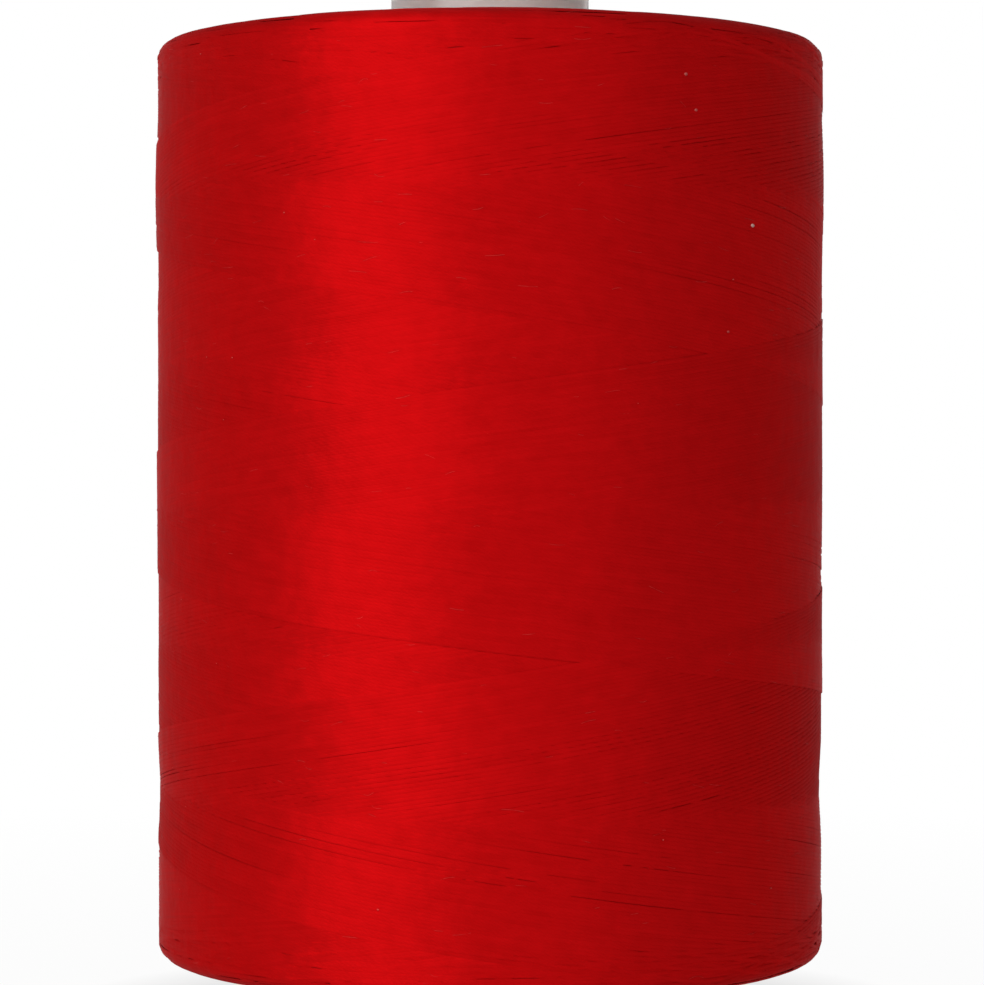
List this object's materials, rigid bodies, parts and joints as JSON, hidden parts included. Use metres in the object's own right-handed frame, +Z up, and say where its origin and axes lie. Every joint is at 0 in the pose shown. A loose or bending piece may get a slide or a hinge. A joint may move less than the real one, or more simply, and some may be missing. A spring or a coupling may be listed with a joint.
{
  "type": "cross-wound spool of sewing thread",
  "caption": "Straight cylinder of fine cotton thread, cross-wound on a plain open tube that stands out at both ends.",
  "frame": {"origin": "middle of the tube's lower end, which the spool stands on", "axes": "+Z up along the tube; the spool looks the same all round, so +X and +Y are free"},
  "size_m": [0.0432, 0.0432, 0.067],
  "materials": {
    "thread": "mercerised cotton thread with a soft sheen",
    "core_plastic": "satin moulded plastic"
  },
  "bodies": {
    "root": {"core": "core_plastic", "thread_winding": "thread"}
  },
  "joints": []
}
